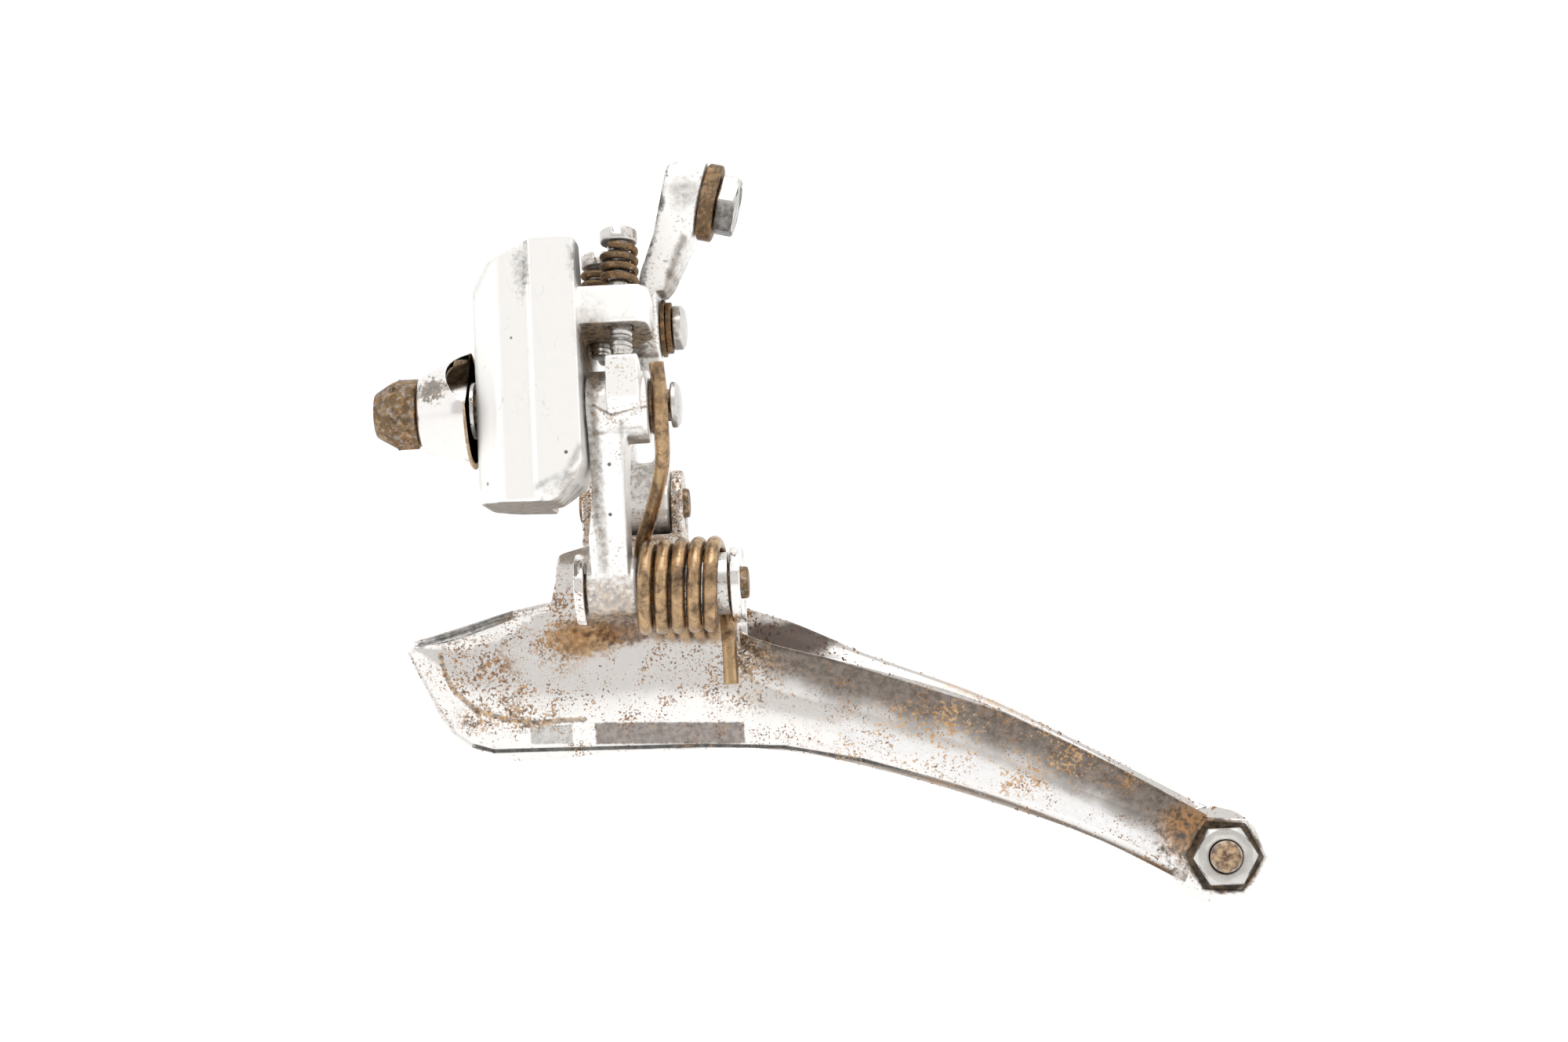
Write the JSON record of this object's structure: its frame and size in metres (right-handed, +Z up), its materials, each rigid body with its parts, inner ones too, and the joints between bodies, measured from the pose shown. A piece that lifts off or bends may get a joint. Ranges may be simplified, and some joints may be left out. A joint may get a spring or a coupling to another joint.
{
  "type": "front derailleur",
  "caption": "Braze-on bicycle front derailleur: cast body, parallelogram links with return spring, limit screws, cable anchor arm and a pressed steel chain cage.",
  "frame": {"origin": "on the mounting bolt's axis, at the rim of the cup washer, where the hanger tab is clamped", "axes": "+X towards the rear of the bicycle along the cage, +Y outboard, +Z up"},
  "size_m": [0.1083, 0.0374, 0.0971],
  "materials": {
    "body": "polished cast aluminium, light grime in the corners",
    "cup_washer": "bright chrome",
    "bolt_sleeve": "plain steel",
    "mounting_bolt": "rusted brown steel",
    "upper_inner_pin": "plain riveted steel",
    "upper_outer_pin": "plain riveted steel",
    "pin_spring_washer": "rusted steel",
    "upper_inner_washer": "dark stained steel",
    "upper_outer_washer": "dark stained steel",
    "inner_link": "polished aluminium",
    "outer_link": "polished aluminium, stained edges",
    "cable_bolt": "bright steel",
    "cable_clamp_washer": "rusted brown steel",
    "lower_inner_pin": "bright steel",
    "lower_outer_pin": "plain riveted steel",
    "return_spring": "rusty bronze-brown spring wire",
    "spring_bush": "stained steel",
    "inner_cage_plate": "worn chrome with rust specks",
    "outer_cage_plate": "worn chrome with rust stains",
    "cage_clevis": "pitted chrome with rust",
    "clevis_rivet_front": "plain steel",
    "clevis_rivet_rear": "plain steel",
    "tail_screw": "stained steel",
    "tail_nut": "bright steel",
    "tail_spacer": "plain steel tube",
    "low_limit_screw": "plain steel, stained threads",
    "high_limit_screw": "plain steel, stained",
    "low_limit_spring": "rusty spring wire",
    "high_limit_spring": "rusty spring wire"
  },
  "bodies": {
    "mount_body": {"body": "body", "cup_washer": "cup_washer", "bolt_sleeve": "bolt_sleeve", "upper_inner_pin": "upper_inner_pin", "upper_outer_pin": "upper_outer_pin", "pin_spring_washer": "pin_spring_washer", "upper_inner_washer": "upper_inner_washer", "upper_outer_washer": "upper_outer_washer", "low_limit_spring": "low_limit_spring", "high_limit_spring": "high_limit_spring"},
    "mounting_bolt": {"mounting_bolt": "mounting_bolt"},
    "low_limit_screw": {"low_limit_screw": "low_limit_screw"},
    "high_limit_screw": {"high_limit_screw": "high_limit_screw"},
    "inner_link": {"inner_link": "inner_link", "return_spring": "return_spring"},
    "outer_link": {"outer_link": "outer_link", "cable_clamp_washer": "cable_clamp_washer"},
    "cable_bolt": {"cable_bolt": "cable_bolt"},
    "cage": {"inner_cage_plate": "inner_cage_plate", "outer_cage_plate": "outer_cage_plate", "cage_clevis": "cage_clevis", "clevis_rivet_front": "clevis_rivet_front", "clevis_rivet_rear": "clevis_rivet_rear", "lower_inner_pin": "lower_inner_pin", "lower_outer_pin": "lower_outer_pin", "spring_bush": "spring_bush", "tail_spacer": "tail_spacer", "tail_nut": "tail_nut"},
    "tail_screw": {"tail_screw": "tail_screw"}
  },
  "joints": [
    {"name": "inner_link_swing", "type": "hinge", "parent": "mount_body", "child": "inner_link", "pos_m": [0.0144, 0, -0.0005], "axis": [1, 0, 0], "range_deg": [0, 32], "stiffness_Nm_per_rad": 0.2, "springref_deg": -45.84, "deforming": ["return_spring"]},
    {"name": "outer_link_swing", "type": "hinge", "parent": "mount_body", "child": "outer_link", "pos_m": [0.0144, 0.013, 0.011], "axis": [1, 0, 0], "range_deg": [0, 32]},
    {"name": "cage_swing", "type": "hinge", "parent": "inner_link", "child": "cage", "pos_m": [0.0128, 0.00628, -0.02242], "axis": [1, 0, 0], "range_deg": [-32, 0]},
    {"name": "mounting_bolt_turn", "type": "hinge", "parent": "mount_body", "child": "mounting_bolt", "pos_m": [0, 0, 0], "axis": [1, 0, 0], "continuous": true},
    {"name": "low_limit_screw_turn", "type": "hinge", "parent": "mount_body", "child": "low_limit_screw", "pos_m": [0.0191, -0.0046, 0.0052], "axis": [0, 0.1564, 0.9877], "continuous": true},
    {"name": "high_limit_screw_turn", "type": "hinge", "parent": "mount_body", "child": "high_limit_screw", "pos_m": [0.0159, 0.0026, 0.0061], "axis": [0, 0.1564, 0.9877], "continuous": true},
    {"name": "cable_bolt_turn", "type": "hinge", "parent": "outer_link", "child": "cable_bolt", "pos_m": [0.02895, 0.0068, 0.026], "axis": [0.9703, 0, -0.2419], "continuous": true},
    {"name": "tail_screw_turn", "type": "hinge", "parent": "cage", "child": "tail_screw", "pos_m": [0.0902, 0.0129, -0.0591], "axis": [0, 1, 0], "continuous": true}
  ],
  "couplings": [
    {"joint": "outer_link_swing", "follows": "inner_link_swing", "ratio": 1},
    {"joint": "cage_swing", "follows": "inner_link_swing", "ratio": -1}
  ]
}
